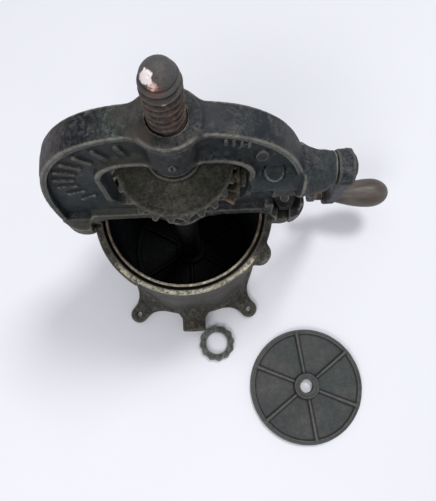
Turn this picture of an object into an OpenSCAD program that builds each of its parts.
// Hand crank screw press and sausage stuffer.
// Origin: axis of the pot, on the surface that the feet stand on.
// +Z is up, +X runs along the crank shaft, and -Y is the side of the outlet spout.

/* [Pot] */
// Inside radius of the tin liner
liner_r = 75; // [74.6:0.1:75.2]
// Thickness of the tin liner
liner_t = 0.9; // [0.5:0.1:1.0]
// Height of the rim above the surface
rim_z = 193; // [192:0.5:194]
// Outside radius of the cast wall
wall_r = 81; // [80:0.5:82]
// Outside radius of the rim flange
flange_r = 88; // [87:0.5:89]
// Outside radius of the thin pouring lip at the front
lip_r = 84.5; // [83:0.5:86]
// Height of the pot's floor
floor_z = 6; // [5:0.5:6.5]
// Outside radius of the skirt at the bottom
skirt_r = 84.5; // [83:0.5:87]
// Radius of the round tab beside the lip
tab_r = 11.5; // [9:0.5:13]

/* [Feet and spout] */
// Distance of the bench holes from the centre, sideways
foot_x = 72.6; // [70:0.2:75]
// Distance of the bench holes from the centre, front to back
foot_y = 82.6; // [80:0.2:85]
// Radius of the rounded end of a foot
foot_r = 11; // [10:0.5:12]
// Thickness of a foot
foot_t = 9; // [6:0.5:12]
// Radius of a bench hole
foot_hole_r = 3.5; // [2.5:0.25:4]
// Height of the spout's axis
spout_z = 18; // [17:0.5:20]
// Distance of the spout's end from the pot's axis
spout_y = 109; // [104:1:114]
// Outside radius of the spout's threaded end
spout_r = 14.8; // [14:0.1:15.5]
// Radius of the spout's bore
spout_bore_r = 10.5; // [9:0.25:11]

/* [Yoke] */
// Half width of the yoke's outline
yoke_a = 110.8; // [110:0.2:112]
// How far the yoke's middle lies to the left of the pot's axis
yoke_left = 2.3; // [1.5:0.1:3]
// Height at which the yoke's sides start to curve in
yoke_z0 = 190.5; // [188:0.5:200]
// Height of the yoke's top
yoke_top = 375; // [373:0.5:377]
// Half width of the flanges, front to back
flange_b = 12; // [11:0.5:13]
// Thickness of the flanges
flange_t = 5; // [4:0.5:6]
// Half thickness of the web
web_b = 4; // [3:0.5:5]
// Half width of the gear window
window_a = 56; // [55.5:0.25:58]
// Lowest point of the gear window
window_z0 = 230; // [228:0.5:252]
// Highest point of the gear window
window_z1 = 329; // [327:0.5:331]
// Radius of the window's upper corners
window_r = 26; // [20:1:30]
// Radius of the window's lower corners
window_low_r = 8; // [4:1:12]
// Radius of the boss round the screw
boss_r = 22.5; // [21:0.5:24]
// Radius of the bore that guides the screw
guide_r = 13.1; // [12.9:0.1:13.5]
// Turn that frees the yoke, used for the slot's length
slot_turn = 26; // [20:1:30]

/* [Drive] */
// Height of the crank shaft's axis
shaft_z = 283; // [282:0.5:284]
// Radius of the crank shaft
shaft_r = 8; // [7:0.25:9]
// Running clearance of the crank shaft
shaft_gap = 0.06; // [0.02:0.01:0.1]
// Teeth on the large bevel gear
gear_teeth = 24; // [20:2:28]
// Teeth on the pinion
pinion_teeth = 12; // [10:1:14]
// Pitch radius of the large bevel gear at its outer edge
gear_r = 46.2; // [45:0.2:47]
// Angle of the first gear tooth from the pinion
gear_phase = -5.7; // [-7.5:0.1:7.5]
// Radius of the gear's hub
hub_r = 17; // [15:0.5:17.5]

/* [Screw and piston] */
// Outside radius of the screw's thread
screw_r = 12.5; // [12:0.1:12.6]
// Radius at the bottom of the thread
screw_root_r = 10.4; // [10:0.1:11]
// Distance from one thread to the next
pitch = 6.35; // [6:0.05:7]
// Height of the screw's rounded tip
screw_top = 430; // [424:1:436]
// Length of plain bar at the tip
plain_l = 14; // [14:1:30]
// Radius of the piston plate
piston_r = 74; // [73:0.1:74.3]
// Height of the underside of the piston
piston_z = 9.5; // [9:0.5:10]
// Ribs on each round plate
rib_count = 6; // [4:1:8]

/* [Crank and grip] */
// Distance from the crank shaft to the grip
throw = 218; // [210:1:222]
// Angle by which the arm hangs back from straight down
arm_angle = 13.3; // [0:0.1:20]
// Where the crank's hub begins along the shaft
hub_x = 127.6; // [127.4:0.1:129]
// Where the arm's eye begins along the shaft
eye_x = 170; // [165:1:175]
// Radius of the arm's eye
eye_r = 11.5; // [10:0.5:13]
// Radius of the grip's rod
rod_r = 5; // [4:0.25:5.5]
// Greatest radius of the wooden grip
grip_r = 18; // [15:0.5:19]
// Length of the wooden grip
grip_l = 70; // [64:1:80]

/* [Loose pieces] */
// Centre of the loose plate
plate_at = [140.8, -186.1]; // [-300:0.1:300]
// Radius of the loose plate
plate_r = 72; // [70:0.5:74]
// Radius of the loose plate's hole
plate_hole_r = 8.6; // [8:0.1:9.5]
// Centre of the loose ring nut
nut_at = [28.3, -125.5]; // [-300:0.1:300]
// Outside radius of the ring nut
nut_r = 23.2; // [22:0.1:24]
// Inside radius of the ring nut
nut_bore_r = 13.9; // [13.5:0.1:14.4]
// Height of the ring nut
nut_h = 8; // [6:0.5:8]

/* [Hidden] */
$fn = 96;

iron = [0.27, 0.28, 0.27];
worn_iron = [0.42, 0.42, 0.39];
rusty = [0.40, 0.27, 0.19];
tin = [0.60, 0.58, 0.52];
wood = [0.55, 0.47, 0.40];

gap = 0.3;
seat_r = liner_r + liner_t + 0.1;
rim_t = 9;
lug_r = 98;
lug_t = 11;
foot_root = 13;
bolt_x = 97;
bolt_r = 4.8;
bar_z = 208;
bar_top = 217;
beam_z = 212;
beam_end = 82;
beam_t = 6;
boss_z = 324;
washer_t = 2.3;
mesh_h = gear_r * pinion_teeth / gear_teeth;
pitch_m = 2 * gear_r / gear_teeth;
cone_l = sqrt(gear_r * gear_r + mesh_h * mesh_h);
face_k = 0.66;
gear_add = 0.7 * pitch_m;
gear_ded = 1.2 * pitch_m;
pinion_add = 1.06 * pitch_m;
pinion_ded = 0.9 * pitch_m;
tooth_w = 0.45 * PI * pitch_m;
yoke_power = 2.77;
tip_h = 13;
eye_y = throw * sin(arm_angle);
eye_z = shaft_z - throw * cos(arm_angle);
eye_l = 14;

// ---------- shared shapes ----------

// Straight-sided link between two round ends, drawn along +X
module link_outline(r1, r2, d) {
    lean = asin((r1 - r2) / d);
    circle(r1);
    translate([d, 0]) circle(r2);
    polygon([[r1 * sin(lean), r1 * cos(lean)], [d + r2 * sin(lean), r2 * cos(lean)],
             [d + r2 * sin(lean), -r2 * cos(lean)], [r1 * sin(lean), -r1 * cos(lean)]]);
}

// Rectangle with round corners, from its low corner to its high corner
module round_rect(low, high, r) {
    translate([low[0] + r, low[1]]) square([high[0] - low[0] - 2 * r, high[1] - low[1]]);
    translate([low[0], low[1] + r]) square([high[0] - low[0], high[1] - low[1] - 2 * r]);
    for (x = [low[0] + r, high[0] - r])
        for (y = [low[1] + r, high[1] - r])
            translate([x, y]) circle(r);
}

// Slice of the pot's surroundings between two radii and two angles
module ring_slice(r_in, r_out, a0, a1, z0, z1) {
    translate([0, 0, z0])
        rotate([0, 0, a0])
            rotate_extrude(angle = a1 - a0)
                translate([r_in, 0]) square([r_out - r_in, z1 - z0]);
}

// Upright plate in the XZ plane, centred on Y
module upright(half) {
    translate([0, half, 0]) rotate([90, 0, 0]) linear_extrude(2 * half) children();
}

// ---------- pot ----------

module pot() {
    color(iron)
    difference() {
        union() {
            pot_body();
            pot_rim();
            pot_feet();
            spout_outside();
        }
        translate([0, 0, floor_z]) cylinder(r = seat_r, h = rim_z);
        translate([0, 0, rim_z - 7]) cylinder(r = liner_r + 5.2, h = 20);
        translate([0, 0, -1]) cylinder(r = 66, h = 3);
        translate([-150, -150, -30]) cube([300, 300, 30]);
        for (x = [-1, 1])
            for (y = [-1, 1])
                translate([x * foot_x, y * foot_y, -1]) cylinder(r = foot_hole_r, h = 30);
        translate([0, -60, spout_z]) rotate([90, 0, 0]) cylinder(r = spout_bore_r, h = 80);
        translate([bolt_x, 0, rim_z - 40]) cylinder(r = bolt_r + 0.2, h = 60);
    }
}

// Wall with a skirt that flares to the ground
module pot_body() {
    cylinder(r = wall_r, h = rim_z);
    rotate_extrude()
        polygon(concat([[0, 0]],
                       [for (i = [0:6]) [wall_r + (skirt_r - wall_r) * pow(1 - i / 6, 2), 48 * i / 6]],
                       [[0, 48]]));
}

// Flange with the pouring lip cut back at the front, lugs and the rim tab
module pot_rim() {
    difference() {
        rotate_extrude()
            polygon([[0, rim_z - 24], [wall_r, rim_z - 24], [lip_r - 0.5, rim_z - rim_t],
                     [flange_r, rim_z - rim_t], [flange_r, rim_z], [0, rim_z]]);
        ring_slice(lip_r, flange_r + 9, -123, -50, rim_z - rim_t - 9, rim_z + 9);
    }
    // lug that the yoke's hook holds
    ring_slice(wall_r - 1, lug_r, 171, 189, rim_z - lug_t, rim_z - 0.2);
    // ear for the clamp bolt
    translate([0, 0, rim_z - 15]) linear_extrude(15) {
        translate([bolt_x, 0]) circle(15);
        translate([wall_r - 2, -15]) square([bolt_x - wall_r + 2, 30]);
    }
    translate([72, -47, rim_z - 12]) cylinder(r = tab_r, h = 11);
}

// Four feet with round ends and thick roots
module pot_feet() {
    foot_angle = atan2(foot_y, foot_x);
    foot_d = norm([foot_x, foot_y]);
    for (a = [foot_angle, 180 - foot_angle, 180 + foot_angle, -foot_angle])
        rotate([0, 0, a]) {
            linear_extrude(foot_t) {
                translate([foot_d, 0]) circle(foot_r);
                polygon([[70, -foot_r - foot_root], [wall_r + 2, -foot_r - foot_root + 4], [wall_r + 11, -foot_r],
                         [foot_d, -foot_r], [foot_d, foot_r], [wall_r + 11, foot_r],
                         [wall_r + 2, foot_r + foot_root - 4], [70, foot_r + foot_root]]);
            }
            translate([wall_r - 6, 0, 0]) cylinder(r1 = 18, r2 = 5, h = 44);
        }
}

module spout_outside() {
    translate([0, 0, spout_z]) rotate([90, 0, 0]) {
        cylinder(r = spout_r, h = spout_y);
        translate([0, 0, wall_r - 14]) cylinder(r1 = 28, r2 = 18, h = 19);
        translate([0, 0, wall_r + 5]) cylinder(r1 = 18, r2 = spout_r, h = 6);
    }
}

module tin_liner() {
    color(tin)
    difference() {
        union() {
            translate([0, 0, floor_z + 0.2]) cylinder(r = liner_r + liner_t, h = rim_z - floor_z + 0.6);
            translate([0, 0, rim_z + 0.8]) rotate_extrude() translate([liner_r + 1.3, 0]) circle(1.3, $fn = 24);
        }
        translate([0, 0, -1]) cylinder(r = liner_r, h = rim_z + 20);
        translate([0, -60, spout_z]) rotate([90, 0, 0]) cylinder(r = spout_bore_r, h = 80);
    }
}

module clamp_bolt() {
    color(iron) {
        translate([bolt_x, 0, rim_z - 22]) cylinder(r = bolt_r, h = 43);
        translate([bolt_x, 0, rim_z - 22]) cylinder(r = 10, h = 7, $fn = 6);
    }
}

module clamp_nut() {
    color(iron)
    translate([bolt_x, 0, rim_z + 12 + gap]) difference() {
        cylinder(r = 11, h = 9, $fn = 6);
        translate([0, 0, -1]) cylinder(r = bolt_r, h = 12);
    }
}

// ---------- yoke ----------

// Arched outline of the yoke, drawn smaller by an inset
module yoke_outline(inset) {
    half = yoke_a - inset;
    rise = yoke_top - yoke_z0 - inset;
    arch = [for (i = [0:40])
            let (t = 180 * i / 40,
                 c = cos(t),
                 s = sin(t))
            [half * sign(c) * pow(abs(c), 2 / yoke_power) - yoke_left, yoke_z0 + rise * pow(s, 2 / yoke_power)]];
    intersection() {
        polygon(arch);
        translate([-2 * yoke_a, bar_z]) square([4 * yoke_a, yoke_top]);
    }
}

// Window for the gears, drawn larger all round
module window_outline(grow) {
    half = window_a + grow;
    low = window_z0 - grow;
    round_rect([-half, low], [half, low + 48], window_low_r + grow);
    round_rect([-half, low + 10], [half, window_z1 + grow], window_r);
}

module yoke() {
    color(worn_iron)
    difference() {
        union() {
            yoke_web();
            yoke_rims();
            yoke_bar();
            translate([0, 0, boss_z]) cylinder(r = boss_r, h = yoke_top + 2 - boss_z);
            bearing_outside();
            hook_foot();
            clamp_foot();
            web_ornament();
        }
        translate([0, 0, bar_z - 20]) cylinder(r = guide_r, h = 200);
        translate([20, 0, shaft_z]) rotate([0, 90, 0]) cylinder(r = shaft_r + shaft_gap, h = 120);
        translate([0, -10, 339]) rotate([90, 0, 0]) cylinder(r = 3, h = 20);
        translate([-2.2, 0, boss_z + 6]) cube([4.4, 18, 42]);
        clamp_slot();
        // clear space for the nut and its spanner
        upright(30) round_rect([84.5, bar_z - 3], [108.5, 240], 1);
        // clear space over the pot's mouth
        translate([0, 0, bar_z - 40]) cylinder(r = 80, h = 40);
    }
}

module yoke_web() {
    upright(web_b) difference() {
        yoke_outline(1);
        window_outline(0);
        translate([-hub_r - 3, bar_top]) square([2 * hub_r + 6, 60]);
        translate([-beam_end, bar_z - 1]) square([2 * beam_end - 4, beam_z - bar_z + 1]);
    }
}

// Flanges round the outside and round the window
module yoke_rims() {
    upright(flange_b) difference() {
        yoke_outline(0);
        yoke_outline(flange_t);
        translate([-100, bar_z - 1]) square([200, 20]);
    }
    upright(flange_b) difference() {
        window_outline(4);
        window_outline(0);
        translate([-100, window_z0 - 10]) square([200, 12]);
    }
}

// Flange over the pot's mouth, with the ring that guides the screw and carries the gear
module yoke_bar() {
    difference() {
        translate([-beam_end, -flange_b, beam_z]) cube([2 * beam_end + 4, 2 * flange_b, beam_t]);
        translate([-hub_r - 3, -20, bar_top - 0.5]) cube([2 * hub_r + 6, 40, 60]);
    }
    translate([-30, -flange_b, bar_z]) cube([60, 2 * flange_b, bar_top - 0.5 - bar_z]);
    translate([0, 0, bar_z]) cylinder(r = hub_r + 0.6, h = bar_top - bar_z);
}

// Long bearing for the crank shaft, flared where it leaves the yoke
module bearing_outside() {
    translate([window_a, 0, shaft_z]) rotate([0, 90, 0]) {
        cylinder(r = 14, h = 127 - window_a);
        translate([0, 0, 44]) cylinder(r1 = 22, r2 = 14, h = 16);
        cylinder(r1 = 18, r2 = 14, h = 10);
    }
}

// Left foot: a round pad on the rim with a hook that holds the pot's lug
module hook_foot() {
    difference() {
        union() {
            translate([-93, 0, rim_z]) cylinder(r = 22, h = bar_z - rim_z);
            translate([-97, 0, rim_z - 22]) cylinder(r = 16, h = 23);
        }
        for (y = [-30, flange_b])
            intersection() {
                cylinder(r = flange_r, h = bar_z + 9);
                translate([-120, y, rim_z - 1]) cube([120, 18, 40]);
            }
        rotate_extrude()
            polygon([[0, rim_z - 30], [flange_r + 1.5, rim_z - 30], [flange_r + 1.5, rim_z - lug_t - 2 * gap],
                     [lug_r + 2, rim_z - lug_t - 2 * gap], [lug_r + 2, rim_z + gap], [0, rim_z + gap]]);
    }
    translate([-yoke_a - yoke_left, -flange_b, rim_z + 12]) cube([yoke_a + yoke_left - beam_end, 2 * flange_b, 12]);
}

// Right foot: a round pad on the rim that the clamp bolt holds
module clamp_foot() {
    translate([98, 0, rim_z + gap]) cylinder(r = 19.5, h = 12 - gap);
    for (x = [76, 108])
        translate([x, -flange_b, rim_z + gap]) cube([x > 100 ? 4.5 : 10, 2 * flange_b, 30]);
}

// Slot that lets the clamp bolt out as the yoke is turned
module clamp_slot() {
    translate([bolt_x, 0, rim_z - 10]) cylinder(r = bolt_r + 0.6, h = 30);
    ring_slice(bolt_x - bolt_r - 0.6, bolt_x + bolt_r + 0.6, -slot_turn, 0, rim_z - 10, rim_z + 14);
}

// Plain raised pads on the front of the web
module web_ornament() {
    translate([0, -web_b + 0.5, 0]) rotate([90, 0, 0]) linear_extrude(1.7) {
        for (i = [0:3])
            translate([-84, 262 + 14 * i]) square([32 - 4 * i, 4], center = true);
        translate([75.5, 294]) circle(8);
        translate([60, 337]) circle(3.5);
    }
}

module thrust_washer() {
    color(rusty)
    translate([0, 0, boss_z - washer_t]) difference() {
        cylinder(r = 20, h = washer_t);
        translate([0, 0, -1]) cylinder(r = guide_r, h = 5);
    }
}

module guide_key() {
    color(rusty) translate([-2.2, 10, boss_z + 6]) cube([4.4, 8, 42]);
}

module oil_plug() {
    color(rusty)
    translate([0, -14, 339]) rotate([90, 0, 0]) difference() {
        cylinder(r = 3, h = 9.5);
        translate([-0.6, -4, 8.3]) cube([1.2, 8, 2]);
    }
}

// ---------- gears ----------

function inv(a) = tan(a) - a * PI / 180;
// Half angle of a tooth at radius r, for a tooth of width w on pitch radius rp
function half_angle(rp, w, r) =
    (w / (2 * rp) + inv(20) - inv(acos(min(1, rp * cos(20) / r)))) * 180 / PI;
// Outline of one tooth: distance sideways, and height above the pitch line
function tooth_outline(rp, add, ded, w) =
    let (radii = [for (i = [0:4]) rp - ded + (add + ded) * i / 4],
         side = [for (r = radii) let (a = half_angle(rp, w, max(r, rp * cos(20)))) [r * sin(a), r * cos(a) - rp]])
    concat(side, [for (i = [4:-1:0]) [-side[i][0], side[i][1]]]);

// One bevel tooth beside +X, tapering towards the cones' common apex at the origin
module bevel_tooth(r, h, add, ded, virtual_r) {
    outline = tooth_outline(virtual_r, add, ded, tooth_w);
    n = len(outline);
    outer = [for (p = outline) [r + h / cone_l * p[1], p[0], h - r / cone_l * p[1]]];
    inner = [for (p = outer) face_k * p];
    polyhedron(concat(outer, inner),
               concat([[for (i = [0:n - 1]) i]], [[for (i = [n - 1:-1:0]) n + i]],
                      [for (i = [0:n - 1]) [i, n + i, n + (i + 1) % n, (i + 1) % n]]));
}

module bevel_gear() {
    deep = gear_ded - 0.5;
    root = [gear_r - mesh_h / cone_l * deep, mesh_h + gear_r / cone_l * deep];
    color(worn_iron)
    difference() {
        union() {
            translate([0, 0, shaft_z]) rotate([0, 0, gear_phase])
                for (i = [0:gear_teeth - 1])
                    rotate([0, 0, 360 * i / gear_teeth])
                        bevel_tooth(gear_r, mesh_h, gear_add, gear_ded, gear_r * cone_l / mesh_h);
            translate([0, 0, shaft_z]) rotate_extrude()
                polygon([[0, bar_top + gap - shaft_z], [hub_r, bar_top + gap - shaft_z],
                         [hub_r, face_k * root[1] - 7], [face_k * root[0], face_k * root[1]], root,
                         [root[0] - 0.6, root[1] + 1.6], [root[0] - 2.4, root[1] + 2.2],
                         [34, root[1] + 3.6], [25, root[1] + 6.6], [20.5, 36],
                         [20, boss_z - washer_t - gap - shaft_z], [0, boss_z - washer_t - gap - shaft_z]]);
        }
        translate([0, 0, bar_z]) cylinder(r = screw_r + 0.08, h = 150);
    }
}

module pinion() {
    root = [mesh_h - gear_r / cone_l * (pinion_ded - 0.5), gear_r + mesh_h / cone_l * (pinion_ded - 0.5)];
    color(rusty)
    translate([0, 0, shaft_z]) rotate([0, 90, 0]) difference() {
        union() {
            rotate([0, 0, 180 - 2 * gear_phase + 180 / pinion_teeth])
                for (i = [0:pinion_teeth - 1])
                    rotate([0, 0, 360 * i / pinion_teeth])
                        bevel_tooth(mesh_h, gear_r, pinion_add, pinion_ded, mesh_h * cone_l / gear_r);
            rotate_extrude()
                polygon([[0, face_k * root[1] - 2], [face_k * root[0] - 2, face_k * root[1] - 2],
                         [face_k * root[0], face_k * root[1]], root, [root[0] - 1, root[1] + 1.5],
                         [12, root[1] + 2], [12, 55], [0, 55]]);
        }
        cylinder(r = shaft_r, h = 100);
        translate([0, 30, 52.2]) rotate([90, 0, 0]) cylinder(r = 1.8, h = 60);
    }
}

module pinion_pin() {
    color(iron) translate([52.2, 12.5, shaft_z]) rotate([90, 0, 0]) cylinder(r = 1.8, h = 25);
}

// ---------- screw and piston ----------

module press_screw() {
    low = piston_z + 4;
    thread_top = screw_top - plain_l;
    turns = floor((thread_top - 30) / pitch);
    color(rusty)
    difference() {
        union() {
            translate([0, 0, low]) cylinder(r = screw_root_r, h = screw_top - low - tip_h - 2);
            translate([0, 0, screw_top - plain_l]) rotate_extrude()
                polygon(concat([[0, 0], [screw_r, 0], [screw_r - 0.4, plain_l - tip_h]],
                               [for (a = [10:10:90]) [(screw_r - 0.4) * cos(a), plain_l - tip_h + tip_h * sin(a)]]));
            rotate_extrude()
                for (i = [0:turns - 1])
                    translate([0, thread_top - pitch * (i + 0.5)])
                        polygon([[0, -2.7], [screw_root_r, -2.7], [screw_r, -1.4], [screw_r, 1.4],
                                 [screw_root_r, 2.7], [0, 2.7]]);
        }
        translate([0, 0, low - 1]) cylinder(r = 3.2, h = 15);
        translate([-2.5, 9.6, 140]) cube([5, 5, 260]);
    }
}

// Round plate with a raised rim, ribs and a hub
module ribbed_plate(r, hub_out, hole, plate_t, rim_h, rib_h, hub_h, first) {
    difference() {
        union() {
            cylinder(r = r, h = plate_t);
            difference() {
                cylinder(r = r, h = rim_h);
                translate([0, 0, plate_t]) cylinder(r = r - 4.5, h = rim_h);
            }
            cylinder(r = hub_out, h = hub_h);
            for (i = [0:rib_count - 1])
                rotate([0, 0, first + 360 * i / rib_count])
                    linear_extrude(rib_h)
                        polygon([[0, -1.7], [r - 3, -2.3], [r - 3, 2.3], [0, 1.7]]);
        }
        translate([0, 0, -1]) cylinder(r = hole, h = hub_h + 2);
    }
}

module piston_plate() {
    color(iron)
    translate([0, 0, piston_z]) difference() {
        ribbed_plate(piston_r, 19, 3.2, 4, 7, 8.5, 12, 30);
        translate([0, 0, 4]) cylinder(r = screw_r, h = 20);
    }
}

module piston_nut() {
    color(rusty) {
        translate([0, 0, piston_z - 2]) cylinder(r = 7, h = 2, $fn = 6);
        translate([0, 0, piston_z]) cylinder(r = 3.2, h = 16);
    }
}

// ---------- crank ----------

module crank_shaft() {
    color(iron)
    translate([26, 0, shaft_z]) rotate([0, 90, 0]) difference() {
        cylinder(r = shaft_r, h = hub_x + 17 - 26);
        translate([0, 30, 26.2]) rotate([90, 0, 0]) cylinder(r = 1.8, h = 60);
        rotate([0, 0, arm_angle]) translate([0, 30, hub_x + 10 - 26]) rotate([90, 0, 0])
            cylinder(r = 2.2, h = 60);
    }
}

// Arm drawn in the shaft's own frame, hanging straight down, then leaned back
module crank_arm() {
    color(worn_iron)
    translate([0, 0, shaft_z]) rotate([arm_angle, 0, 0]) difference() {
        union() {
            translate([hub_x, 0, 0]) rotate([0, 90, 0]) cylinder(r = 14.5, h = 13);
            translate([hub_x + 13, 0, 0]) rotate([0, 90, 0]) cylinder(r1 = 14.5, r2 = 9, h = 5.5);
            intersection() {
                upright(16)
                    polygon([[hub_x + 3, 2], [hub_x + 13, 2], [hub_x + 19, -11], [hub_x + 29, -70],
                             [eye_x + eye_l, -throw + 40], [eye_x + eye_l, -throw], [eye_x + 3, -throw],
                             [eye_x + 1, -throw + 38], [hub_x + 18, -72], [hub_x + 8, -18],
                             [hub_x + 3, -10]]);
                rotate([0, 90, 0]) linear_extrude(300) link_outline(14.5, eye_r - 1, throw);
            }
            translate([eye_x, 0, -throw]) rotate([0, 90, 0]) cylinder(r = eye_r, h = eye_l);
        }
        translate([hub_x - 1, 0, 0]) rotate([0, 90, 0]) cylinder(r = shaft_r, h = 18);
        translate([eye_x - 1, 0, -throw]) rotate([0, 90, 0]) cylinder(r = rod_r + 0.08, h = eye_l + 2);
        translate([hub_x + 10, 30, 0]) rotate([90, 0, 0]) cylinder(r = 2.2, h = 60);
    }
}

module crank_pin() {
    color(iron)
    translate([0, 0, shaft_z]) rotate([arm_angle, 0, 0])
        translate([hub_x + 10, 15.5, 0]) rotate([90, 0, 0]) cylinder(r = 2.2, h = 31);
}

module grip_rod() {
    color(iron) translate([eye_x - 20, eye_y, eye_z]) rotate([0, 90, 0]) cylinder(r = rod_r, h = 72);
}

module grip_nut() {
    color(iron)
    translate([eye_x - 19.5, eye_y, eye_z]) rotate([0, 90, 0]) difference() {
        translate([-6.8, -6.8, 0]) cube([13.6, 13.6, 10]);
        translate([0, 0, -1]) cylinder(r = rod_r, h = 12);
    }
}

module grip_collar() {
    color(rusty)
    translate([eye_x - 9.5, eye_y, eye_z]) rotate([0, 90, 0]) difference() {
        cylinder(r = 6.4, h = 9.5 - gap);
        translate([0, 0, -1]) cylinder(r = rod_r, h = 12);
    }
}

// Pear-shaped grip, turned about the rod
module wooden_grip() {
    start = eye_x + eye_l + gap;
    wide = 0.66 * grip_l;
    color(wood)
    translate([start, eye_y, eye_z]) rotate([0, 90, 0]) difference() {
        rotate_extrude()
            polygon(concat([[0, 0], [9, 0], [10, 2]],
                           [for (i = [1:8]) [10 + (grip_r - 10) * sin(90 * i / 8), 2 + (wide - 2) * i / 8]],
                           [for (a = [10:10:90]) [grip_r * cos(a), wide + (grip_l - wide) * sin(a)]]));
        translate([0, 0, -1]) cylinder(r = rod_r, h = eye_x + 52 - start + 1);
    }
}

// ---------- loose pieces ----------

module loose_plate() {
    color(worn_iron)
    translate([plate_at[0], plate_at[1], 0])
        ribbed_plate(plate_r, 16, plate_hole_r, 5, 8, 9, 12, 36);
}

// Scalloped nut that holds a filling tube on the spout
module ring_nut() {
    color(iron)
    translate([nut_at[0], nut_at[1], 0]) difference() {
        union() {
            cylinder(r = nut_r - 1.6, h = nut_h);
            for (i = [0:11])
                rotate([0, 0, 30 * i + 5]) translate([nut_r - 4, 0, 0]) cylinder(r = 4, h = nut_h);
        }
        translate([0, 0, -1]) cylinder(r = nut_bore_r, h = nut_h + 2);
    }
}

pot();
tin_liner();
clamp_bolt();
clamp_nut();
yoke();
thrust_washer();
guide_key();
oil_plug();
bevel_gear();
press_screw();
piston_plate();
piston_nut();
crank_shaft();
pinion();
pinion_pin();
crank_arm();
crank_pin();
grip_rod();
grip_nut();
grip_collar();
wooden_grip();
loose_plate();
ring_nut();
